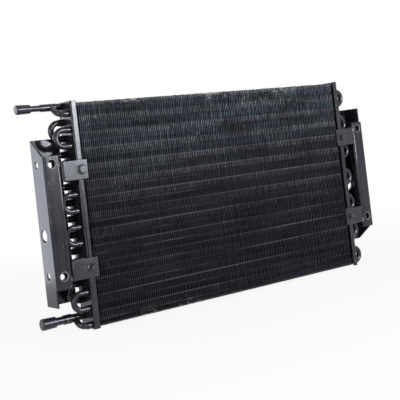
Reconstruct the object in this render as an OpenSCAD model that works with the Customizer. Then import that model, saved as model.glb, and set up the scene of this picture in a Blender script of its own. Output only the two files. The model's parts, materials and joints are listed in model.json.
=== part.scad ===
// Hydraulic oil cooler: two rows of hairpin tubes through a stack of plate fins,
// held by two flanged end plates and hung from two bent sheet brackets.
// The oil enters at the upper left port, splits into one circuit for each row,
// and joins again at the lower left port. Push-on caps close both ports.
//
// X runs along the tubes, Y from the front to the mounting plane, Z up.
// The origin is the centre of the four rear mounting holes, on the mounting plane.

/* [Core] */
// Distance between the tube centres of a row
tube_pitch = 25.4; // [22:0.1:32]
// Distance between the front row and the back row
row_pitch = 22; // [20:0.5:30]
// Tubes in each row, an even number
tubes_per_row = 14; // [10:2:20]
// Width over the outer faces of the end plates
core_w = 570; // [420:1:800]

/* [Fins] */
// Spacing of the fins
fin_spacing = 8; // [4:0.5:14]
// Thickness of a fin
fin_t = 0.5; // [0.3:0.1:1]
// Wall of the collar that a fin has round each tube
collar_wall = 0.6; // [0.4:0.1:1.2]
// Distance from an end plate's outer face to the first fin
fin_margin = 13; // [12:0.5:30]
// Distance from the front and rear faces of the end plates to the fins
fin_setback = 2; // [1.6:0.1:4]
// Distance from the ends of the end plates to the fins
fin_end_gap = 2.5; // [0.5:0.1:3]

/* [Tubes] */
// Outside diameter of the coil tubes
tube_od = 9.52; // [8:0.01:10.5]
// Wall of the coil tubes
tube_wall = 0.8; // [0.5:0.05:1.2]
// Radial gap of the expanded and brazed tube joints
joint_gap = 0.06; // [0.03:0.01:0.12]
// Reach of the belled tube ends beyond the left end plate
tube_reach = 8; // [7.5:0.1:14]
// Depth of the bell on a tube end
bell_depth = 6; // [4:0.1:6.2]
// Straight reach of a hairpin beyond the right end plate
hairpin_reach = 3.5; // [1:0.1:12]
// Straight reach of the front row's return bends beyond their bells
front_return_reach = 5; // [0.5:0.1:5.4]
// Straight reach of the back row's return bends beyond their bells
back_return_reach = 1.4; // [0.5:0.1:5]

/* [End plates] */
// Thickness of the end plate sheet
plate_t = 1.5; // [1:0.1:2]
// Width of the flanges along the front and the rear edge
plate_flange = 10; // [9.6:0.1:12]
// Inside radius of the flange bends
plate_bend_r = 1; // [0.5:0.1:2]
// Radial gap between a tube and its hole in an end plate
plate_hole_gap = 0.15; // [0.05:0.05:0.4]

/* [Ports] */
// Outside diameter of the upper port tube, the inlet
inlet_od = 9.52; // [8:0.01:12.7]
// Outside diameter of the lower port tube, the outlet
outlet_od = 12.7; // [9.5:0.01:16]
// Wall of the port tubes
port_wall = 0.5; // [0.4:0.05:0.7]
// Wall of the fittings
fitting_wall = 1.1; // [0.9:0.05:1.4]
// Outside diameter of the body of the inlet fitting
inlet_body_od = 12; // [11:0.1:16]
// Outside diameter of the body of the outlet fitting
outlet_body_od = 12.9; // [12.8:0.1:18]
// Free length of the inlet tube beyond its coupling
inlet_free_l = 38; // [30:0.5:80]
// Free length of the outlet tube beyond its coupling
outlet_free_l = 34; // [30:0.5:80]
// Centre line radius of the elbow on a fitting's branch
elbow_r = 9.5; // [8:0.1:14]
// Distance from the bells to the elbow's end
elbow_clear = 0.5; // [0.3:0.1:4]
// Length of a coupling sleeve
coupling_l = 12.5; // [8:0.5:20]
// Wall of a coupling sleeve
coupling_wall = 1.1; // [0.7:0.05:2]
// Gap between the two tube ends inside a coupling
coupling_end_gap = 0.4; // [0.2:0.1:1]

/* [Port caps] */
// Length of the port tube that a cap covers
cap_cover = 20; // [12:0.5:26]
// Wall of a cap at its open end
cap_wall = 1.9; // [1.2:0.1:3]
// Extra wall of a cap at its closed end
cap_swell = 0.7; // [0:0.1:1.5]
// Thickness of a cap's closed end
cap_end_t = 2.5; // [1.5:0.1:4]
// Gap between a cap and its tube
cap_gap = 0.3; // [0.2:0.05:0.5]
// Rounding of a cap's closed end
cap_round = 1.2; // [0.4:0.1:1.5]

/* [Brackets] */
// Distance from an end plate's outer face to a bracket's web
bracket_standoff = 55; // [50:0.5:90]
// Length of a bracket
bracket_l = 258; // [240:1:330]
// Thickness of the bracket sheet
bracket_t = 3; // [2:0.1:3.2]
// Inside radius of the bracket bends
bracket_bend_r = 1; // [0.5:0.1:1.4]
// Distance from the rear of the end plates to the mounting plane
rear_gap = 2; // [0.5:0.1:10]
// Width of the front flange over its lip
front_flange_w = 27.5; // [24:0.5:32]
// Distance from the left bracket's lip to the return bends behind it
lip_clear = 0.7; // [0.3:0.1:1]
// Depth of the right bracket's lip
right_lip_depth = 14; // [8:0.5:18]
// Width of the rear flange
rear_flange_w = 50; // [40:0.5:54]
// Distance from the upper bolt hole to the front flange's end
flange_edge = 12; // [10:0.5:16]
// Set-back of the web's front edge beyond the front flange
relief = 6.5; // [6:0.1:12]

/* [Bracket holes] */
// Diameter of the bolt holes in the web and right through both flanges
bolt_hole_d = 13; // [9:0.5:14]
// Distance between the bolt holes of a web or a front flange
bolt_hole_span = 172; // [150:1:180]
// Height of those holes' middle above the bracket's middle
bolt_hole_rise = 4; // [0:0.5:8]
// Distance from the web's outer face to the bolt holes through the flanges
bolt_inset = 13.5; // [12:0.5:14.5]
// Distance from the mounting plane to the web holes
web_hole_depth = 18; // [14:0.5:24]
// Diameter of the large holes in the web and the rear flange
web_port_d = 21; // [14:0.5:22]
// Drop of the large holes below the bracket's middle
web_port_drop = 19.5; // [0:0.5:40]
// Diameter of the rear mounting holes
rear_hole_d = 9; // [6.6:0.1:11]
// Distance between the rear mounting holes of a bracket
rear_hole_span = 176; // [150:1:220]
// Distance from the web's outer face to the rear mounting holes
rear_hole_inset = 30; // [20:0.5:34]

/* [Clips and screws] */
// Thickness of the clip sheet
clip_t = 2.5; // [1.5:0.1:3]
// Inside radius of a clip's bend
clip_bend_r = 1.5; // [0.5:0.1:2.5]
// Height of a clip
clip_h = 31; // [24:0.5:40]
// Reach of a clip over the front of the core
clip_overlap = 17; // [15:0.5:24]
// Tube pitches between a clip's middle and the bracket's middle
clip_pitches = 3; // [2:1:3]
// Nominal diameter of the clip screws
screw_d = 5; // [4:0.5:5]
// Radial gap between a screw and the holes it passes
screw_hole_gap = 0.25; // [0.15:0.05:0.4]
// Length of a screw under its head
screw_l = 9.5; // [9:0.5:12]
// Distance from an end plate's outer face to the screws
screw_inset = 6; // [5.6:0.1:6.4]
// Width across the flats of a screw's hexagon
screw_af = 10; // [8:0.5:10]
// Height of a screw's hexagon
screw_hex_h = 3.5; // [3:0.1:6]
// Diameter of the flange under a screw's hexagon
screw_flange_d = 16; // [13:0.5:17]
// Thickness of that flange at its rim
screw_rim_t = 0.8; // [0.5:0.1:1.2]
// Height of the cone from the rim up to the hexagon
screw_cone_h = 1.5; // [1:0.1:2]
// Width of the flat ring between the cone and the hexagon's corners
screw_ring = 0.4; // [0.3:0.05:0.6]
// Width across the flats of a nut
nut_af = 7.8; // [7:0.1:8]
// Height of a nut
nut_h = 4; // [2.5:0.1:5]
// Radial gap of the thread between a screw and its nut
thread_gap = 0.05; // [0.03:0.01:0.1]

/* [Hidden] */
$fn = 48;
paint = "#1d1e22";
fin_paint = "#19191c";
cap_colour = "#24242a";

// Overshoot of the cutting shapes
cut = 1;

FRONT = 0;
BACK = 1;
ROWS = [FRONT, BACK];
ROW_NAMES = ["front", "back"];
LEFT = -1;
RIGHT = 1;
UPPER = 1;
LOWER = -1;

// Faces of the core and middles of its rows
core_x = core_w/2;
core_d = 2*row_pitch;
core_rear = -rear_gap;
core_front = core_rear - core_d;
core_y = core_rear - row_pitch;
core_h = tubes_per_row*tube_pitch;
core_bottom = -(core_h - tube_pitch/2)/2;
hairpins = tubes_per_row/2;
return_bends = hairpins - 1;
last_tube = tubes_per_row - 1;

function row_y(row) = core_y + (row == FRONT ? -1 : 1)*row_pitch/2;
// Place of a return bend's middle along the tubes
function return_x(row) = core_x + tube_reach + (row == FRONT ? front_return_reach : back_return_reach);
// The back row sits half a pitch higher than the front row.
function tube_z(row, k) = (last_tube/2 - k + (row == BACK ? 0.5 : 0))*tube_pitch;

// Tube ends and bends
tube_r = tube_od/2;
bell_r = tube_r + joint_gap;
bell_mouth_x = core_x + tube_reach;
socket_end_x = bell_mouth_x - bell_depth + joint_gap*6;
hairpin_x = core_x + hairpin_reach;

// Fin stack
fins = floor((core_w - 2*fin_margin)/fin_spacing) + 1;
stack_w = (fins - 1)*fin_spacing + fin_t;
fin_d = core_d - 2*fin_setback;
fin_h = core_h - 2*fin_end_gap;
collar_r = tube_r + joint_gap + collar_wall;

// Fittings: the branch runs from the back row's tube to the front row's tube
branch_l = norm([row_pitch, tube_pitch/2]);
branch_tilt = -atan2(row_pitch, tube_pitch/2);
elbow_end_x = bell_mouth_x + elbow_clear;
branch_x = elbow_end_x + elbow_r;
body_end_x = branch_x + tube_r + elbow_clear;
coupling_x = body_end_x + joint_gap;
coupling_mid_x = coupling_x + coupling_l/2;

// Brackets and clips
bracket_x = core_x + bracket_standoff;
bracket_d = core_d + rear_gap;
bracket_r = bracket_bend_r + bracket_t;
left_lip_depth = row_pitch/2 - tube_r - lip_clear;
lip_x = bracket_x - front_flange_w;
port_inset = bracket_r + web_port_d/2 + cut/2;
flange_end = bolt_hole_rise + bolt_hole_span/2 + flange_edge;
clip_r = clip_bend_r + clip_t;
clip_l = lip_x - core_x + clip_overlap;
clip_z = clip_pitches*tube_pitch;
screw_x = core_x - screw_inset;
screw_seat = core_front - clip_t;

function hairpin_name(row, i) = str(ROW_NAMES[row], "_hairpin_", i + 1);
function return_name(row, i) = str(ROW_NAMES[row], "_return_bend_", i + 1);

// Turns a shape drawn along Z so that it runs along X
module along_x() {
    rotate([0, 90, 0]) children();
}

// Extrudes a (Y, Z) outline along X from x0
module extrude_x(x0, length) {
    translate([x0, 0, 0]) rotate([90, 0, 90]) linear_extrude(length) children();
}

// Solid round bar along X between two stations
module bar_x(x0, x1, r) {
    translate([x0, 0, 0]) along_x() cylinder(h = x1 - x0, r = r);
}

// Quarter of a sheet bend, from start_angle on
module bend_2d(r_out, t, start_angle) {
    rotate(start_angle) intersection() {
        difference() {
            circle(r_out);
            circle(r_out - t);
        }
        square(r_out);
    }
}

// Part of a round section swept about Y, starting from start_angle in the XZ plane
module bend_xz(bend_r, start_angle, sweep) {
    rotate([90, 0, 0]) rotate([0, 0, start_angle]) rotate_extrude(angle = sweep)
        translate([bend_r, 0]) children();
}

module tube_section() {
    difference() {
        circle(tube_r);
        circle(tube_r - tube_wall);
    }
}

// Centres of all tubes, as (Y, Z) places
module at_tubes() {
    for (row = ROWS, k = [0 : last_tube])
        translate([row_y(row), tube_z(row, k)]) children();
}

// Fins with their collars butted into one stack, bored for the tubes
module fin_pack() {
    color(fin_paint) difference() {
        translate([-stack_w/2, core_y - fin_d/2, core_bottom + fin_end_gap])
            cube([stack_w, fin_d, fin_h]);
        for (i = [0 : fins - 2])
            extrude_x(-stack_w/2 + fin_t + i*fin_spacing, fin_spacing - fin_t) fin_gap();
        extrude_x(-stack_w/2 - cut, stack_w + 2*cut)
            at_tubes() circle(tube_r + joint_gap);
    }
}

// Air gap between two fins, broken only by the collars
module fin_gap() {
    difference() {
        translate([core_y - fin_d/2 - cut, core_bottom])
            square([fin_d + 2*cut, core_h]);
        at_tubes() circle(collar_r);
    }
}

// Channel section of an end plate, web outer face on X = 0 and flanges towards +X
module end_plate_2d() {
    r = plate_bend_r + plate_t;
    translate([0, core_front + r]) square([plate_t, core_d - 2*r]);
    translate([r, core_front]) square([plate_flange - r, plate_t]);
    translate([r, core_rear - plate_t]) square([plate_flange - r, plate_t]);
    translate([r, core_rear - r]) bend_2d(r, plate_t, 90);
    translate([r, core_front + r]) bend_2d(r, plate_t, 180);
}

// An end plate with its tube holes and the screw holes in its front flange
module end_plate(side) {
    color(paint) difference() {
        translate([0, 0, core_bottom]) linear_extrude(core_h)
            translate([side*core_x, 0]) mirror([side == RIGHT ? 1 : 0, 0]) end_plate_2d();
        extrude_x(side*core_x - plate_t - cut, 2*(plate_t + cut))
            at_tubes() circle(tube_r + plate_hole_gap);
        at_screws(side, core_front + plate_t + cut)
            cylinder(h = plate_t + 2*cut, d = screw_d + 2*screw_hole_gap);
    }
}

module left_end_plate() { end_plate(LEFT); }
module right_end_plate() { end_plate(RIGHT); }

// Leg of a hairpin along X, from the bell at its left end to the bend on X = 0
module hairpin_leg() {
    bore_r = tube_r - tube_wall;
    outer_r = bell_r + tube_wall;
    mouth = -bell_mouth_x - hairpin_x;
    seat = mouth + bell_depth;
    shoulder = seat + tube_wall;
    along_x() rotate_extrude() polygon([
        [bell_r, mouth], [outer_r, mouth], [outer_r, shoulder], [tube_r, shoulder + outer_r - tube_r],
        [tube_r, 0], [bore_r, 0], [bore_r, seat], [bell_r, seat]]);
}

// Hairpin i of a row joins tubes 2i and 2i + 1 at the right end
module hairpin(row, i) {
    color(paint) translate([hairpin_x, row_y(row), tube_z(row, 2*i + 0.5)]) {
        for (end = [UPPER, LOWER]) translate([0, 0, end*tube_pitch/2]) hairpin_leg();
        bend_xz(tube_pitch/2, -90, 180) tube_section();
    }
}

// Return bend i of a row joins tubes 2i + 1 and 2i + 2 at the left end
module return_bend(row, i) {
    color(paint) translate([-return_x(row), row_y(row), tube_z(row, 2*i + 1.5)]) {
        for (end = [UPPER, LOWER]) translate([0, 0, end*tube_pitch/2])
            along_x() linear_extrude(return_x(row) - socket_end_x) tube_section();
        bend_xz(tube_pitch/2, 90, 180) tube_section();
    }
}

// Places a port's parts on the axis of the back row's tube k
module at_port(k) {
    translate([0, row_y(BACK), tube_z(BACK, k)]) children();
}

// Outline of a fitting, thinned by wall for its bore and lengthened by past at its open ends
module fitting_form(neck_od, body_od, wall, past) {
    leg_r = tube_r - wall;
    body_r = body_od/2 - wall;
    bar_x(-branch_x, -socket_end_x + past, leg_r);
    bar_x(-body_end_x + wall, -elbow_end_x - wall, body_r);
    bar_x(-coupling_mid_x + coupling_end_gap/2 - past, -branch_x, neck_od/2 - wall);
    rotate([branch_tilt, 0, 0]) {
        translate([-branch_x, 0, elbow_r - branch_l]) cylinder(h = branch_l - elbow_r, r = leg_r);
        translate([-elbow_end_x, 0, elbow_r - branch_l]) bend_xz(elbow_r, 180, 90) circle(leg_r);
        translate([0, 0, -branch_l]) bar_x(-elbow_end_x, -socket_end_x + past, leg_r);
    }
}

// Fitting that splits a port between the two rows
module fitting(k, neck_od, body_od) {
    color(paint) at_port(k) difference() {
        fitting_form(neck_od, body_od, 0, 0);
        fitting_form(neck_od, body_od, fitting_wall, cut);
    }
}

// Sleeve brazed over a fitting's neck and its port tube
module coupling(k, od) {
    color(paint) at_port(k) translate([-coupling_x - coupling_l, 0, 0]) along_x()
        linear_extrude(coupling_l) difference() {
            circle(od/2 + joint_gap + coupling_wall);
            circle(od/2 + joint_gap);
        }
}

function port_end_x(free_l) = coupling_x + coupling_l + free_l;

// Plain tube that a hose or pipe joins
module port_tube(k, od, free_l) {
    start = coupling_mid_x + coupling_end_gap/2;
    color(paint) at_port(k) translate([-port_end_x(free_l), 0, 0]) along_x()
        linear_extrude(port_end_x(free_l) - start) difference() {
            circle(od/2);
            circle(od/2 - port_wall);
        }
}

// Push-on cap, a cup with a slightly swollen and rounded closed end
module cap(k, od, free_l) {
    bore_r = od/2 + cap_gap;
    mouth_r = bore_r + cap_wall;
    end_r = mouth_r + cap_swell;
    length = cap_cover + cap_gap + cap_end_t;
    color(cap_colour) at_port(k) translate([-port_end_x(free_l) - cap_gap - cap_end_t, 0, 0]) along_x()
        rotate_extrude() polygon([
            [0, 0], [end_r - cap_round, 0], [end_r, cap_round], [mouth_r, length],
            [bore_r, length], [bore_r, cap_end_t], [0, cap_end_t]]);
}

module inlet_fitting() { fitting(0, inlet_od, inlet_body_od); }
module inlet_coupling() { coupling(0, inlet_od); }
module inlet_tube() { port_tube(0, inlet_od, inlet_free_l); }
module inlet_cap() { cap(0, inlet_od, inlet_free_l); }
module outlet_fitting() { fitting(last_tube, outlet_od, outlet_body_od); }
module outlet_coupling() { coupling(last_tube, outlet_od); }
module outlet_tube() { port_tube(last_tube, outlet_od, outlet_free_l); }
module outlet_cap() { cap(last_tube, outlet_od, outlet_free_l); }

// Section of a bracket, web outer face on X = 0 and flanges towards +X
module bracket_2d(lip_depth) {
    r = bracket_r;
    t = bracket_t;
    translate([0, r - bracket_d]) square([t, bracket_d - 2*r]);
    translate([r, -t]) square([rear_flange_w - r, t]);
    translate([r, -bracket_d]) square([front_flange_w - 2*r, t]);
    translate([front_flange_w - t, r - bracket_d]) square([t, lip_depth - r]);
    translate([r, -r]) bend_2d(r, t, 90);
    translate([r, r - bracket_d]) bend_2d(r, t, 180);
    translate([front_flange_w - r, r - bracket_d]) bend_2d(r, t, 270);
}

// Part of a bracket's end that is cut away, as a (Y, Z) outline for the upper end
module end_trim_2d(slanted) {
    top = bracket_l/2;
    web_front = relief - bracket_d;
    web_corner = slanted ? -bracket_r : web_front;
    polygon([
        [-bracket_d - cut, flange_end], [web_front, flange_end],
        [web_corner, top], [web_corner, top + cut], [-bracket_d - cut, top + cut]]);
}

// Bent bracket, web outer face on X = 0, slanted at one end and square at the other
module bracket(slanted_end, lip_depth) {
    difference() {
        translate([0, 0, -bracket_l/2]) linear_extrude(bracket_l) bracket_2d(lip_depth);
        for (end = [UPPER, LOWER]) mirror([0, 0, end == LOWER ? 1 : 0]) {
            extrude_x(-cut, front_flange_w + 2*cut) end_trim_2d(end == slanted_end);
            translate([bracket_r, -bracket_d - cut, flange_end])
                cube([front_flange_w, lip_depth + 2*cut, bracket_l/2 - flange_end + cut]);
        }
        for (end = [UPPER, LOWER]) translate([0, 0, bolt_hole_rise + end*bolt_hole_span/2]) {
            translate([-cut, -web_hole_depth, 0]) along_x() cylinder(h = bracket_t + 2*cut, d = bolt_hole_d);
            translate([bolt_inset, cut, 0]) rotate([90, 0, 0])
                cylinder(h = bracket_d + 2*cut, d = bolt_hole_d);
        }
        translate([0, 0, -web_port_drop]) {
            translate([-cut, -web_hole_depth, 0]) along_x() cylinder(h = bracket_t + 2*cut, d = web_port_d);
            translate([port_inset, cut, 0]) rotate([90, 0, 0])
                cylinder(h = bracket_t + 2*cut, d = web_port_d);
        }
        for (end = [UPPER, LOWER]) translate([rear_hole_inset, cut, end*rear_hole_span/2])
            rotate([90, 0, 0]) cylinder(h = bracket_t + 2*cut, d = rear_hole_d);
    }
}

module left_bracket() {
    color(paint) translate([-bracket_x, 0, 0]) bracket(UPPER, left_lip_depth);
}

module right_bracket() {
    color(paint) translate([bracket_x, 0, 0]) mirror([1, 0, 0]) bracket(LOWER, right_lip_depth);
}

// Places children at a side's two screws, facing the front from depth y
module at_screws(side, y) {
    for (level = [UPPER, LOWER]) translate([side*screw_x, y, level*clip_z]) rotate([90, 0, 0]) children();
}

// Bent clip from a bracket's lip to the front flange of an end plate
module clip(side, level) {
    color(paint) difference() {
        translate([side*lip_x, 0, level*clip_z - clip_h/2]) mirror([side == RIGHT ? 1 : 0, 0, 0])
            linear_extrude(clip_h) clip_2d();
        at_screws(side, core_front + cut) cylinder(h = clip_t + 2*cut, d = screw_d + 2*screw_hole_gap);
    }
}

// Section of a clip, outer face of its leg on X = 0 and its arm towards +X
module clip_2d() {
    translate([clip_r, core_front - clip_t]) square([clip_l - clip_r, clip_t]);
    translate([0, core_front - clip_t + clip_r]) square([clip_t, clip_t - clip_r + left_lip_depth]);
    translate([clip_r, core_front - clip_t + clip_r]) bend_2d(clip_r, clip_t, 180);
}

module upper_left_clip() { clip(LEFT, UPPER); }
module lower_left_clip() { clip(LEFT, LOWER); }
module upper_right_clip() { clip(RIGHT, UPPER); }
module lower_right_clip() { clip(RIGHT, LOWER); }

// Hexagonal bar across the given flats
module hex_bar(af, h) {
    rotate(30) cylinder(h = h, d = af/cos(30), $fn = 6);
}

// Hexagon flange screw, drawn along Z with its seat on Z = 0
module screw() {
    cone_top_r = screw_af/2/cos(30) + screw_ring;
    hex_top = screw_rim_t + screw_cone_h + screw_hex_h;
    rotate_extrude() polygon([
        [0, -screw_l], [screw_d/2, -screw_l], [screw_d/2, 0], [screw_flange_d/2, 0],
        [screw_flange_d/2, screw_rim_t], [cone_top_r, screw_rim_t + screw_cone_h],
        [0, screw_rim_t + screw_cone_h]]);
    translate([0, 0, screw_rim_t]) hex_bar(screw_af, hex_top - screw_rim_t);
}

module clip_screws() {
    color(paint) for (side = [LEFT, RIGHT]) at_screws(side, screw_seat) screw();
}

module nut() {
    difference() {
        hex_bar(nut_af, nut_h);
        translate([0, 0, -cut]) cylinder(h = nut_h + 2*cut, d = screw_d + 2*thread_gap);
    }
}

module clip_nuts() {
    color(paint) for (side = [LEFT, RIGHT]) at_screws(side, core_front + plate_t + nut_h) nut();
}

fin_pack();
left_end_plate();
right_end_plate();
for (row = ROWS, i = [0 : hairpins - 1])
    hairpin(row, i);
for (row = ROWS, i = [0 : return_bends - 1])
    return_bend(row, i);
inlet_fitting();
inlet_coupling();
inlet_tube();
inlet_cap();
outlet_fitting();
outlet_coupling();
outlet_tube();
outlet_cap();
left_bracket();
right_bracket();
upper_left_clip();
lower_left_clip();
upper_right_clip();
lower_right_clip();
clip_screws();
clip_nuts();
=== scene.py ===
"""Looks of the hydraulic oil cooler: fine fins, black paint, a plain studio and the photo's camera."""
import json
import math
from typing import NamedTuple

import bpy
import numpy as np
from mathutils import Matrix, Vector


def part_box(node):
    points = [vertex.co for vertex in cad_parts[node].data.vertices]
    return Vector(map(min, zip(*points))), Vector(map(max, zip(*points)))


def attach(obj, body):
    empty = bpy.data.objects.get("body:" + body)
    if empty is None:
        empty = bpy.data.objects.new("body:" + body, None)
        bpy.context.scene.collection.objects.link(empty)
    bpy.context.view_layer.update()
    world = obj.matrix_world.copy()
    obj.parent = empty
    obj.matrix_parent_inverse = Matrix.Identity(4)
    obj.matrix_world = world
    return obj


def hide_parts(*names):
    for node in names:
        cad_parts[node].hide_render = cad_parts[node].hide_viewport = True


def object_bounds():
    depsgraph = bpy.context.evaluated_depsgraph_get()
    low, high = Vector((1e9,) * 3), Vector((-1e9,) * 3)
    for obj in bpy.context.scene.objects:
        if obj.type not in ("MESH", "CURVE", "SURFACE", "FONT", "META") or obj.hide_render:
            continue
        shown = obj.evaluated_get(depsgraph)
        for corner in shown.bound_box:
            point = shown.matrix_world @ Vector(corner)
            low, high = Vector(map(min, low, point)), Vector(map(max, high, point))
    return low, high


MM = 0.001
SEED = 7


class Grain(NamedTuple):
    """Noise: how fine it is along X, Y and Z, its detail, and the levels between which it sets in."""
    scales: tuple
    detail: float
    start: float = 0.35
    end: float = 0.65


class Coat(NamedTuple):
    """Paint: colour of thin and thick coats, range of roughness, orange peel, shine, dust and scales."""
    name: str
    thin: tuple
    thick: tuple
    gloss: tuple
    peel: float
    shine: float
    dust: float
    patch_scale: float = 18
    gloss_scale: float = 54
    peel_scale: float = 650


class Lamp(NamedTuple):
    """Soft box: its place, the point it faces, width and height, and its face's radiance and colour."""
    name: str
    place: tuple
    target: tuple
    size: tuple
    radiance: float
    colour: tuple = (1, 1, 1)


# Fins: the photographed stack is finer than the solids' stack
FIN_SPACING = 3.63 * MM
FIN_THICKNESS = 0.30 * MM
FIN_JITTER = 0.25 * MM
FIN_LEAN = 0.10 * MM
FIN_RECESS = 0.3 * MM
TOP_RAGGED = 0.9 * MM

# Ripple of the fins and the creases at its turns, with the rows of points that form a crease
RIPPLE_HEIGHT = 0.30 * MM
CREASE_HEIGHT = 0.35 * MM
CREASE_WIDTH = 0.8 * MM
CREASE_ROWS = np.array([-1.5, -0.5, 0.5, 1.5]) * CREASE_WIDTH
END_CLEARANCE = 0.3 * MM

# Front edges of the fins: depths of points, share of the lean at each, and waves in radians per metre
EDGE_DEPTHS = (0.0, 1.6 * MM)
EDGE_SHARES = (1.0, 0.35)
EDGE_LEAN = 0.12 * MM
EDGE_WAVES = np.array([31.0, 67.0, 139.0])

# Dents in the front edges, many of them close to the top
DENT_COUNT = 90
DENT_SHIFT = 1.6 * MM
DENT_WIDTHS = (2 * MM, 7 * MM)
DENT_HEIGHTS = (2 * MM, 8 * MM)
TOP_DENT_SHARE = 0.6
TOP_DENT_REACH = 12 * MM

# Fin paint, in streaks along the core
FIN_COAT = Coat("fin_paint", thin=(0.006, 0.0048, 0.0083), thick=(0.0265, 0.0218, 0.0352),
                gloss=(0.34, 0.50), peel=0.15, shine=0.4, dust=0.10, gloss_scale=70)
FIN_STREAKS = Grain((5, 1, 95), 4.0, 0.38, 0.66)
FIN_DUST = Grain((14, 14, 14), 6.0, 0.45, 0.75)

# Painted highlights: light lines along the creases, fading upwards: main lines a quarter pitch below the
# front row's tubes, all across the core, and side lines half a pitch from them, mostly on the left
CREASE_HIGHLIGHT_COLOUR = (0.26, 0.25, 0.28)
LINE_HALF = 0.45 * MM
LINE_FADE = 1.1 * MM
LINE_LEVELS = (50 * MM, 140 * MM)
LINE_TOP_SHARE = 0.2
MAIN_HIGHLIGHT_PATCHES = Grain((4, 1, 70), 3.0, 0.40, 0.66)
MAIN_SHARES = (0.12, 1.0)
SIDE_HIGHLIGHT_PATCHES = Grain((12, 1, 70), 4.0, 0.38, 0.62)
SIDE_SHARES = (0.0, 0.7)
SIDE_REACH = (-130 * MM, -20 * MM)
SIDE_REST = 0.1

# Painted sheen, partly dust: a cool haze on the fins' front edges, patchy and striped, lighter over
# the upper part and a little at the bottom
EDGE_DUST_AND_SHEEN_COLOUR = (0.47, 0.66, 0.80)
HAZE_SHARE = 0.40
HAZE_DEPTH = 2.5 * MM
HAZE_LEVELS = (30 * MM, 130 * MM)
HAZE_TILT = -0.10
HAZE_REST = 0.06
LOW_HAZE = 0.12
LOW_HAZE_REACH = (10.0 * MM, 34.0 * MM)
HAZE_PATCHES = Grain((9, 1, 60), 4.0, 0.38, 0.62)
PATCH_SHARES = (0.35, 1.0)
HAZE_STRIPES = Grain((220, 1, 60), 2.0, 0.38, 0.62)
STRIPE_SHARES = (0.30, 1.0)

# Painted light in neutral bands below the main lines, fading downwards
LIT_BAND_COLOUR = (0.60, 0.56, 0.61)
BAND_SHARE = 0.50
BAND_DROP = 4.0 * MM
BAND_REACH = (3.0 * MM, 6.5 * MM)
BAND_LEVELS = (-60 * MM, 90 * MM)
BAND_REST = 0.05

# Painted glints of bent fins: pale flecks in loose groups, where the haze lies
GLINT_FLECKS = Grain((150, 60, 150), 4.0, 0.60, 0.68)
GLINT_GROUPS = Grain((13, 1, 16), 2.0, 0.56, 0.66)

# Bare nicks along the top and bottom edges: where each cluster lies along the core, and half its length
NICK_COLOUR = (0.62, 0.62, 0.61)
NICKS = Grain((120, 60, 320), 6.0, 0.52, 0.60)
NICK_BAND = 15.0 * MM
NICK_EDGE = 1.0 * MM
CLUSTER_MIDDLE = 0.2
TOP_NICKS = ((-176 * MM, 34 * MM), (-5 * MM, 50 * MM), (142 * MM, 60 * MM))
TOP_REST = 0.12
LOW_NICKS = ((-184 * MM, 18 * MM), (-105 * MM, 26 * MM))
LOW_REST = 0.0

# Cool sheen of the black paint, its patches and orange peel, and dust and grit that have settled on it
SHEEN_COLOUR = (0.88, 0.92, 1.0)
PATCH_DETAIL = 4.0
GLOSS_DETAIL = 5.0
PEEL_DETAIL = 2.0
PEEL_DEPTH = 0.4 * MM
DUST_COLOUR = (0.16, 0.15, 0.14)
DUST = Grain((14, 14, 14), 6.0, 0.42, 0.74)
# Pale colour of grit specks on the paint, used also for the fins' painted glints
GRIT_AND_GLINT_COLOUR = (0.45, 0.45, 0.44)
SPECKS = Grain((330, 330, 330), 1.0, 0.70, 0.76)
SPECK_SHARE = 6.0

# Paint of the record's slots, and of the clips, which are duller than the brackets whose slot they share
COATS = {
    "tubes": Coat("tube_paint", thin=(0.004, 0.004, 0.006), thick=(0.013, 0.013, 0.016),
                  gloss=(0.08, 0.18), peel=0.06, shine=0.5, dust=0.05),
    "end_plates": Coat("end_plate_paint", thin=(0.007, 0.007, 0.010), thick=(0.017, 0.017, 0.022),
                       gloss=(0.18, 0.26), peel=0.05, shine=0.5, dust=0.06),
    "brackets": Coat("bracket_paint", thin=(0.007, 0.007, 0.012), thick=(0.017, 0.017, 0.025),
                     gloss=(0.10, 0.17), peel=0.08, shine=0.42, dust=0.05),
    "clips": Coat("clip_paint", thin=(0.007, 0.007, 0.012), thick=(0.017, 0.017, 0.025),
                  gloss=(0.20, 0.30), peel=0.08, shine=0.55, dust=0.05),
    "fasteners": Coat("fastener_paint", thin=(0.010, 0.010, 0.012), thick=(0.032, 0.032, 0.036),
                      gloss=(0.13, 0.22), peel=0.06, shine=0.6, dust=0.08,
                      patch_scale=90, gloss_scale=270),
    "caps": Coat("cap_vinyl", thin=(0.008, 0.007, 0.013), thick=(0.022, 0.019, 0.034),
                 gloss=(0.16, 0.26), peel=0.06, shine=0.42, dust=0.03,
                 patch_scale=60, gloss_scale=180, peel_scale=1100),
}

# Paint rubbed off round the brackets' holes, and painted light that lifts the shade on the holes' walls
WORN_AND_LIT_RIM_COLOUR = (0.30, 0.30, 0.31)
RIM_REACH = (0.3 * MM, 1.2 * MM)

# Softened edges of the bent sheet and of the fasteners
SHEET_EDGE = 0.95 * MM
FASTENER_EDGE = 0.25 * MM
EDGE_STEPS = 3
SHARP_ANGLE = math.radians(40)
WELD_REACH = 0.01 * MM

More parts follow.
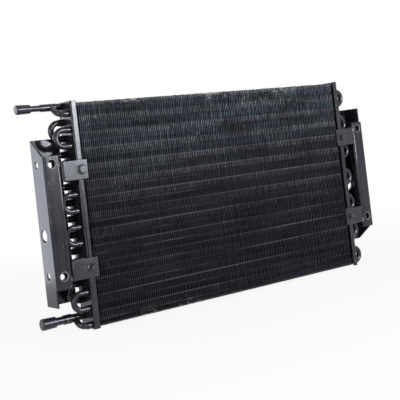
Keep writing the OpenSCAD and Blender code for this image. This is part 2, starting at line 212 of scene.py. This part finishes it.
# Studio: a large floor, how plain white it looks near and far, and the light from all round
FLOOR_HALF = 30.0
FLOOR_COLOUR = (0.94, 0.94, 0.94)
FLOOR_GLOW = (0.88, 1.0)
FLOOR_FADE = (0.45, 1.3)
WORLD_LIGHT = 0.45
LAMPS = (
    Lamp("front_box", place=(0.68, -1.50, 0.265), target=(-0.9, 0.0, 0.265),
         size=(0.60, 0.31), radiance=26.0),
    Lamp("left_strip", place=(-1.50, -0.75, 0.15), target=(-0.33, -0.03, 0.05),
         size=(0.10, 0.90), radiance=20.0),
    Lamp("back_box", place=(-0.585, 0.525, 0.045), target=(-0.34, -0.02, 0.045),
         size=(0.40, 0.58), radiance=2.05, colour=(0.84, 0.87, 1.0)),
    Lamp("port_box", place=(0.35, -1.50, 0.52), target=(-0.34, -0.02, 0.05),
         size=(0.14, 0.36), radiance=25.0),
)

# Camera, found from the photograph's corners
CAMERA_PLACE = Vector((-896.95, -1267.76, 92.67)) * MM
CAMERA_AZIMUTH = math.radians(36.0)
CAMERA_RISE = math.radians(1.26)
CAMERA_ROLL = math.radians(6.6)
CAMERA_LENS = 78.36
CAMERA_SENSOR = 36.0
CAMERA_SHIFT = (-0.0432, -0.1907)

# Sockets of a mix node that belong to colours, and the distances between nodes in the editor
MIX_AMOUNT = 0
MIX_UNDER = 6
MIX_OVER = 7
MIX_RESULT = 2
NODE_COLUMN = 220
NODE_ROW = 260


def node_of(tree, kind, **inputs):
    """New shader node, with its input defaults set by name."""
    node = tree.nodes.new(kind)
    for name, value in inputs.items():
        node.inputs[name.replace("_", " ")].default_value = value
    return node


def calculated(tree, operation, *values, kind="ShaderNodeMath", result="Value"):
    """Result of an operation on values, each of which is a node's output or plain."""
    node = node_of(tree, kind)
    node.operation = operation
    for socket, value in zip(node.inputs, values):
        if isinstance(value, bpy.types.NodeSocket):
            tree.links.new(value, socket)
        else:
            socket.default_value = value
    return node.outputs[result]


def product(tree, first, *others):
    """Product of several values."""
    for other in others:
        first = calculated(tree, "MULTIPLY", first, other)
    return first


def largest(tree, first, *others):
    """The largest of several values."""
    for other in others:
        first = calculated(tree, "MAXIMUM", first, other)
    return first


def ranged(tree, value, start, end, low, high):
    """The value's range from start to end turned into low to high, held beyond it."""
    node = node_of(tree, "ShaderNodeMapRange", From_Min=start, From_Max=end, To_Min=low, To_Max=high)
    tree.links.new(value, node.inputs["Value"])
    return node.outputs["Result"]


def noise(tree, coords, grain):
    """Noise in object coordinates, stretched along the axes."""
    mapping = node_of(tree, "ShaderNodeMapping", Scale=grain.scales)
    tree.links.new(coords, mapping.inputs["Vector"])
    texture = node_of(tree, "ShaderNodeTexNoise", Scale=1.0, Detail=grain.detail)
    tree.links.new(mapping.outputs["Vector"], texture.inputs["Vector"])
    return texture.outputs["Fac"]


def mottle(tree, coords, grain, low, high):
    """Noise turned into a change from low to high, which are grey levels or colours."""
    node = node_of(tree, "ShaderNodeValToRGB")
    stops = node.color_ramp.elements
    for stop, position, level in zip(stops, (grain.start, grain.end), (low, high)):
        stop.position = position
        stop.color = (*level, 1) if isinstance(level, tuple) else (level, level, level, 1)
    tree.links.new(noise(tree, coords, grain), node.inputs["Fac"])
    return node.outputs["Color"]


def layer(tree, under, colour, amount):
    """A colour laid over another by an amount from 0 to 1."""
    node = node_of(tree, "ShaderNodeMix")
    node.data_type = "RGBA"
    node.inputs[MIX_OVER].default_value = (*colour, 1)
    tree.links.new(amount, node.inputs[MIX_AMOUNT])
    tree.links.new(under, node.inputs[MIX_UNDER])
    return node.outputs[MIX_RESULT]


def split(tree, coords):
    """The coordinates' three values, as outputs X, Y and Z."""
    node = node_of(tree, "ShaderNodeSeparateXYZ")
    tree.links.new(coords, node.inputs["Vector"])
    return node.outputs


def arrange(tree):
    """Sets the nodes out in columns, each node left of all that it feeds."""
    links = [(link.from_node.name, link.to_node.name) for link in tree.links]
    columns = {node.name: 0 for node in tree.nodes}
    for _ in tree.nodes:
        for source, target in links:
            columns[source] = max(columns[source], columns[target] + 1)
    filled = [0] * len(columns)
    for node in tree.nodes:
        column = columns[node.name]
        node.location = (-column * NODE_COLUMN, -filled[column] * NODE_ROW)
        filled[column] += 1


def row_distance(tree, height, level, pitch):
    """Height away from the nearest of a stack of levels that are a pitch apart."""
    return calculated(tree, "PINGPONG", calculated(tree, "SUBTRACT", height, level), pitch / 2)


def clusters(tree, across, stretches, rest):
    """1 in the middle of each stretch of the core, given by middle and half length, and rest beyond."""
    found = []
    for middle, half in stretches:
        away = calculated(tree, "ABSOLUTE", calculated(tree, "SUBTRACT", across, middle))
        found.append(ranged(tree, away, CLUSTER_MIDDLE * half, half, 1.0, rest))
    return largest(tree, *found)


def new_material(coat):
    """New material with the coat's name and shine, its node tree, its shader and object coordinates."""
    material = bpy.data.materials.new(coat.name)
    material.use_nodes = True
    tree = material.node_tree
    shader = tree.nodes["Principled BSDF"]
    shader.inputs["Specular IOR Level"].default_value = coat.shine
    shader.inputs["Specular Tint"].default_value = (*SHEEN_COLOUR, 1)
    coords = node_of(tree, "ShaderNodeTexCoord").outputs["Object"]
    return material, tree, shader, coords


def finish_surface(tree, shader, coords, coat, colour):
    """Colour of the coat, with patchy gloss and a fine orange peel."""
    tree.links.new(colour, shader.inputs["Base Color"])
    patches = Grain((coat.gloss_scale,) * 3, GLOSS_DETAIL)
    tree.links.new(mottle(tree, coords, patches, *coat.gloss), shader.inputs["Roughness"])
    bump = node_of(tree, "ShaderNodeBump", Strength=coat.peel, Distance=PEEL_DEPTH)
    peel = noise(tree, coords, Grain((coat.peel_scale,) * 3, PEEL_DETAIL))
    tree.links.new(peel, bump.inputs["Height"])
    tree.links.new(bump.outputs["Normal"], shader.inputs["Normal"])
    arrange(tree)


def bracket_holes(mounts):
    """The right bracket's holes: the plane that each is drilled across, its centre and its radius."""
    holes = []
    for mount in mounts:
        if mount["name"].startswith("left") or not mount["name"].endswith(("bolts", "web_port")):
            continue
        dims = mount["dims"]
        across = Vector([1 - abs(part) for part in mount["axis"]])
        half_x = dims.get("spacing_x_mm", 0) * MM / 2
        half_z = dims.get("spacing_y_mm", 0) * MM / 2
        radius = dims.get("hole_r_mm", dims.get("r_mm")) * MM
        for level in sorted({-half_z, half_z}):
            holes.append((across, Vector(mount["pos_m"]) + Vector((half_x, 0, level)), radius))
    return holes


def worn_and_lit_hole_rims(tree, coords, holes):
    """1 on the walls and rims of both brackets' holes, where bolts and hoses rub the paint off and where
    light is painted over the walls' shade, else 0.
    """
    place = split(tree, coords)
    mirrored = node_of(tree, "ShaderNodeCombineXYZ")
    tree.links.new(calculated(tree, "ABSOLUTE", place["X"]), mirrored.inputs["X"])
    for axis in "YZ":
        tree.links.new(place[axis], mirrored.inputs[axis])
    rims = []
    for across, centre, radius in holes:
        flat = calculated(tree, "MULTIPLY", mirrored.outputs["Vector"], across,
                          kind="ShaderNodeVectorMath", result="Vector")
        away = calculated(tree, "DISTANCE", flat, centre * across, kind="ShaderNodeVectorMath")
        inner, outer = (radius + reach for reach in RIM_REACH)
        rims.append(ranged(tree, away, inner, outer, 1.0, 0.0))
    return largest(tree, *rims)


def paint(coat, holes=()):
    """Sprayed paint: colour from thin to thick coats, dust, grit, and worn rims of the given holes, with
    painted light on their walls.
    """
    material, tree, shader, coords = new_material(coat)
    patches = Grain((coat.patch_scale,) * 3, PATCH_DETAIL)
    colour = mottle(tree, coords, patches, coat.thin, coat.thick)
    colour = layer(tree, colour, DUST_COLOUR, mottle(tree, coords, DUST, 0.0, coat.dust))
    specks = mottle(tree, coords, SPECKS, 0.0, min(1.0, coat.dust * SPECK_SHARE))
    colour = layer(tree, colour, GRIT_AND_GLINT_COLOUR, specks)
    if holes:
        # Worn rims, and painted light over the shade on the holes' walls
        colour = layer(tree, colour, WORN_AND_LIT_RIM_COLOUR, worn_and_lit_hole_rims(tree, coords, holes))
    finish_surface(tree, shader, coords, coat, colour)
    return material


def fin_paint(coat):
    """Paint of the fins: streaks along the core, painted highlights along the creases and painted light
    in bands below them, front edges with dust and a painted sheen, painted glints, and bare nicks.
    """
    material, tree, shader, coords = new_material(coat)
    pitch, lowest = tube_rows()
    low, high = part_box("fin_pack")
    place = split(tree, coords)
    across, depth, height = (place[axis] for axis in "XYZ")
    colour = mottle(tree, coords, FIN_STREAKS, coat.thin, coat.thick)
    colour = layer(tree, colour, DUST_COLOUR, mottle(tree, coords, FIN_DUST, 0.0, coat.dust))

    # Painted highlights along the creases: main lines and side lines, broken into patches
    line_level = lowest - pitch / 4
    from_line = row_distance(tree, height, line_level, pitch)
    line_fade = ranged(tree, height, *LINE_LEVELS, 1.0, LINE_TOP_SHARE)
    main_line = ranged(tree, from_line, LINE_HALF, LINE_FADE, 1.0, 0.0)
    main_highlight_patches = mottle(tree, coords, MAIN_HIGHLIGHT_PATCHES, *MAIN_SHARES)
    colour = layer(tree, colour, CREASE_HIGHLIGHT_COLOUR, product(tree, main_line, main_highlight_patches, line_fade))
    side_line = ranged(tree, from_line, pitch / 2 - LINE_FADE, pitch / 2 - LINE_HALF, 0.0, 1.0)
    side_highlight_patches = mottle(tree, coords, SIDE_HIGHLIGHT_PATCHES, *SIDE_SHARES)
    left_part = ranged(tree, across, *SIDE_REACH, 1.0, SIDE_REST)
    colour = layer(tree, colour, CREASE_HIGHLIGHT_COLOUR, product(tree, side_line, side_highlight_patches, left_part, line_fade))

    # Painted sheen, partly dust, on the front edges: lighter over the upper part and a little at the
    # bottom
    patches = mottle(tree, coords, HAZE_PATCHES, *PATCH_SHARES)
    stripes = mottle(tree, coords, HAZE_STRIPES, *STRIPE_SHARES)
    front = ranged(tree, depth, low[1], low[1] + HAZE_DEPTH, 1.0, 0.0)
    uneven = product(tree, patches, front, stripes)
    tilted = calculated(tree, "MULTIPLY_ADD", across, HAZE_TILT, height)
    high_haze = ranged(tree, tilted, *HAZE_LEVELS, HAZE_REST, 1.0)
    low_reach = (low[2] + reach for reach in LOW_HAZE_REACH)
    low_haze = ranged(tree, height, *low_reach, LOW_HAZE, 0.0)
    dust_and_sheen = largest(tree, high_haze, low_haze)
    colour = layer(tree, colour, EDGE_DUST_AND_SHEEN_COLOUR, product(tree, uneven, dust_and_sheen, HAZE_SHARE))

    # Painted light: lighter bands below the crease lines, fading downwards
    from_band = row_distance(tree, height, line_level - BAND_DROP, pitch)
    lit_band = ranged(tree, from_band, *BAND_REACH, BAND_SHARE, 0.0)
    band_fade = ranged(tree, height, *BAND_LEVELS, BAND_REST, 1.0)
    colour = layer(tree, colour, LIT_BAND_COLOUR, product(tree, uneven, lit_band, band_fade))

    # Painted glints of bent fins, in pale flecks
    glint_flecks = mottle(tree, coords, GLINT_FLECKS, 0.0, 1.0)
    glint_groups = mottle(tree, coords, GLINT_GROUPS, 0.0, 1.0)
    colour = layer(tree, colour, GRIT_AND_GLINT_COLOUR, product(tree, glint_flecks, glint_groups, dust_and_sheen))

    top_edge = ranged(tree, height, high[2] - NICK_BAND, high[2] - NICK_EDGE, 0.0, 1.0)
    top_nicks = product(tree, top_edge, clusters(tree, across, TOP_NICKS, TOP_REST))
    low_edge = ranged(tree, height, low[2] + NICK_EDGE, low[2] + NICK_BAND, 1.0, 0.0)
    low_nicks = product(tree, low_edge, clusters(tree, across, LOW_NICKS, LOW_REST))
    nicks = product(tree, mottle(tree, coords, NICKS, 0.0, 1.0), largest(tree, top_nicks, low_nicks))
    colour = layer(tree, colour, NICK_COLOUR, nicks)
    finish_surface(tree, shader, coords, coat, colour)
    return material


def materials(mounts):
    """The fins' material and one for each coat, with worn holes in the brackets, whose walls carry
    painted light.
    """
    made = {"fins": fin_paint(FIN_COAT)}
    for slot, coat in COATS.items():
        made[slot] = paint(coat, bracket_holes(mounts) if slot == "brackets" else ())
    return made


def soften(obj, width):
    """Rounds an object's edges so that they catch the light."""
    weld = obj.modifiers.new("weld", "WELD")
    weld.merge_threshold = WELD_REACH
    bevel = obj.modifiers.new("edge", "BEVEL")
    bevel.width = width
    bevel.segments = EDGE_STEPS
    bevel.limit_method = "ANGLE"
    bevel.angle_limit = SHARP_ANGLE
    bevel.use_clamp_overlap = True
    bevel.harden_normals = True


def tube_rows():
    """Distance between the tubes of the front row, and the height of the lowest one inside the fins."""
    bottom, top = (corner[2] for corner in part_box("front_hairpin_1"))
    pitch = (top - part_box("front_hairpin_2")[1][2]) / 2
    upper_leg = (bottom + top + pitch) / 2
    return pitch, upper_leg - math.floor((upper_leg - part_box("fin_pack")[0][2]) / pitch) * pitch


def fin_levels(bottom, top):
    """Heights of a fin's rows of points, close together at each crease, and the creases' heights."""
    pitch, lowest = tube_rows()
    creases = np.arange(lowest - pitch / 4, top + pitch / 2, pitch / 2)
    inner = (creases[:, None] + CREASE_ROWS[None, :]).ravel()
    inner = inner[(inner > bottom + END_CLEARANCE) & (inner < top - END_CLEARANCE)]
    return np.concatenate([[bottom], inner, [top]]), creases


def fin_shifts(xs, zs, creases, rng):
    """Sideways shifts of the fins: of each whole fin, with ripple and creases, and of its front edge."""
    away = np.abs(zs[:, None] - creases[None, :]).min(axis=1)
    crease = CREASE_HEIGHT * np.exp(-((away / CREASE_WIDTH) ** 2))
    turns = np.where(np.arange(len(creases)) % 2, 1.0, -1.0)
    ripple = np.interp(zs, creases, turns) * RIPPLE_HEIGHT
    jitter = rng.normal(0, FIN_JITTER, len(xs))
    body = (crease + ripple)[None, :] + jitter[:, None]
    phase = rng.uniform(0, 2 * math.pi, (len(xs), len(EDGE_WAVES)))
    waves = np.sin(zs[None, :, None] * EDGE_WAVES[None, None, :] + phase[:, None, :])
    lean = waves.mean(axis=2) * EDGE_LEAN
    lean = lean + rng.normal(0, FIN_LEAN, len(xs))[:, None]
    for _ in range(DENT_COUNT):
        near_top = rng.random() < TOP_DENT_SHARE
        dent_x = rng.uniform(xs[0], xs[-1])
        drop = rng.uniform(0, TOP_DENT_REACH if near_top else zs[-1] - zs[0])
        wide = rng.uniform(*DENT_WIDTHS)
        tall = rng.uniform(*DENT_HEIGHTS)
        sideways = np.exp(-(((xs - dent_x) / wide) ** 2))
        upright = np.exp(-(((zs - zs[-1] + drop) / tall) ** 2))
        lean = lean + sideways[:, None] * upright[None, :] * rng.uniform(-1, 1) * DENT_SHIFT
    return body, lean


def fin_stack():
    """The fine fins, as one object in place of the solids' coarse stack."""
    rng = np.random.default_rng(SEED)
    low, high = (Vector(corner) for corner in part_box("fin_pack"))
    zs, creases = fin_levels(low.z, high.z)
    count = round((high.x - low.x) / FIN_SPACING) + 1
    xs = np.linspace(low.x + FIN_SPACING / 2, high.x - FIN_SPACING / 2, count)
    body, lean = fin_shifts(xs, zs, creases, rng)
    tops = rng.uniform(-TOP_RAGGED, 0, count)
    depths = np.array([low.y + depth for depth in EDGE_DEPTHS] + [high.y])
    leans = np.array([*EDGE_SHARES, 0.0])

    points = np.empty((count, len(zs), len(depths), 3))
    points[..., 0] = xs[:, None, None] + body[:, :, None] + lean[:, :, None] * leans[None, None, :]
    points[..., 1] = depths[None, None, :]
    points[:, :, 0, 1] += rng.uniform(0, FIN_RECESS, count)[:, None]
    points[..., 2] = zs[None, :, None]
    points[:, -1, :, 2] += tops[:, None]

    index = np.arange(points[..., 0].size).reshape(points.shape[:3])
    corners = [index[:, :-1, :-1], index[:, :-1, 1:], index[:, 1:, 1:], index[:, 1:, :-1]]
    quads = np.stack(corners, axis=-1)
    mesh = bpy.data.meshes.new("fins")
    mesh.from_pydata(points.reshape(-1, 3).tolist(), [], quads.reshape(-1, 4).tolist())
    mesh.polygons.foreach_set("use_smooth", [True] * len(mesh.polygons))
    stack = bpy.data.objects.new("fins", mesh)
    bpy.context.collection.objects.link(stack)
    sheet = stack.modifiers.new("sheet", "SOLIDIFY")
    sheet.thickness = FIN_THICKNESS
    sheet.offset = 0
    return stack


def area_lamp(lamp):
    """Soft box that lights the part but isn't seen itself."""
    light = bpy.data.lights.new(lamp.name, "AREA")
    light.shape = "RECTANGLE"
    width, height = lamp.size
    light.size = width
    light.size_y = height
    light.energy = lamp.radiance * math.pi * width * height
    light.color = lamp.colour
    box = bpy.data.objects.new(lamp.name, light)
    box.location = lamp.place
    box.visible_camera = False
    facing = Vector(lamp.target) - Vector(lamp.place)
    box.rotation_euler = facing.to_track_quat("-Z", "Y").to_euler()
    bpy.context.collection.objects.link(box)


def seen_directly(tree):
    """1 for a ray from the camera, a reflection or through glass, and 0 for one that only lights."""
    path = node_of(tree, "ShaderNodeLightPath").outputs
    return largest(tree, path["Is Camera Ray"], path["Is Glossy Ray"], path["Is Transmission Ray"])


def white_floor(level):
    """Floor that looks plain white far off and takes a faint shadow near the part."""
    mesh = bpy.data.meshes.new("floor")
    corners = [(-1, -1), (1, -1), (1, 1), (-1, 1)]
    mesh.from_pydata([(x * FLOOR_HALF, y * FLOOR_HALF, level) for x, y in corners], [], [(0, 1, 2, 3)])
    floor = bpy.data.objects.new("floor", mesh)
    bpy.context.collection.objects.link(floor)
    white = bpy.data.materials.new("floor_white")
    white.use_nodes = True
    tree = white.node_tree
    shader = tree.nodes["Principled BSDF"]
    shader.inputs["Base Color"].default_value = (*FLOOR_COLOUR, 1)
    shader.inputs["Roughness"].default_value = 1.0
    shader.inputs["Specular IOR Level"].default_value = 0.0
    glow = node_of(tree, "ShaderNodeEmission", Strength=1.0)
    coords = node_of(tree, "ShaderNodeTexCoord").outputs["Object"]
    away = calculated(tree, "LENGTH", coords, kind="ShaderNodeVectorMath")
    share = ranged(tree, away, *FLOOR_FADE, *FLOOR_GLOW)
    blend = node_of(tree, "ShaderNodeMixShader")
    tree.links.new(product(tree, seen_directly(tree), share), blend.inputs[0])
    tree.links.new(shader.outputs[0], blend.inputs[1])
    tree.links.new(glow.outputs[0], blend.inputs[2])
    tree.links.new(blend.outputs[0], tree.nodes["Material Output"].inputs["Surface"])
    arrange(tree)
    mesh.materials.append(white)


def studio(floor_level):
    """White floor and surroundings, with soft boxes."""
    white_floor(floor_level)
    world = bpy.data.worlds.new("studio")
    bpy.context.scene.world = world
    world.use_nodes = True
    tree = world.node_tree
    background = tree.nodes["Background"]
    background.inputs["Color"].default_value = (1, 1, 1, 1)
    brightness = ranged(tree, seen_directly(tree), 0.0, 1.0, WORLD_LIGHT, 1.0)
    tree.links.new(brightness, background.inputs["Strength"])
    arrange(tree)
    for lamp in LAMPS:
        area_lamp(lamp)


def camera():
    """Camera at the photograph's place, turn and framing."""
    data = bpy.data.cameras.new("camera")
    data.lens = CAMERA_LENS
    data.sensor_width = CAMERA_SENSOR
    data.shift_x, data.shift_y = CAMERA_SHIFT
    ahead = Vector((math.sin(CAMERA_AZIMUTH) * math.cos(CAMERA_RISE),
                    math.cos(CAMERA_AZIMUTH) * math.cos(CAMERA_RISE), math.sin(CAMERA_RISE)))
    level = ahead.cross(Vector((0, 0, 1))).normalized()
    upright = level.cross(ahead)
    right = level * math.cos(CAMERA_ROLL) - upright * math.sin(CAMERA_ROLL)
    up = upright * math.cos(CAMERA_ROLL) + level * math.sin(CAMERA_ROLL)
    turn = Matrix((right, up, -ahead)).transposed().to_4x4()
    eye = bpy.data.objects.new("camera", data)
    eye.matrix_world = Matrix.Translation(CAMERA_PLACE) @ turn
    bpy.context.collection.objects.link(eye)
    bpy.context.scene.camera = eye


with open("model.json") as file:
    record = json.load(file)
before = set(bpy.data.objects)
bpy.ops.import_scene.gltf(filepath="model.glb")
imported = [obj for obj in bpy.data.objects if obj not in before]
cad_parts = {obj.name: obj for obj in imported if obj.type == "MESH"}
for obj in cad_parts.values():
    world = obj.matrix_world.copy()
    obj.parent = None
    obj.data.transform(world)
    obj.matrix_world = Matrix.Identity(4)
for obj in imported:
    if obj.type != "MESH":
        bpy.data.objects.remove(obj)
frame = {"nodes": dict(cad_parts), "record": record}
cad_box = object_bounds()
finish = materials(frame["record"]["mounts"])
slots = {entry["node"]: entry["material_slot"] for entry in frame["record"]["subparts"]}
for name, obj in frame["nodes"].items():
    obj.data.materials.clear()
    obj.data.materials.append(finish["clips" if name.endswith("clip") else slots[name]])
    if slots[name] in ("end_plates", "brackets"):
        soften(obj, SHEET_EDGE)
    elif slots[name] == "fasteners":
        soften(obj, FASTENER_EDGE)

fins = fin_stack()
fins.data.materials.append(finish["fins"])
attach(fins, "cooler")
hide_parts("fin_pack")

studio(min(cad_box[0][2], cad_box[1][2]))
camera()
bpy.context.scene.view_settings.view_transform = "Standard"
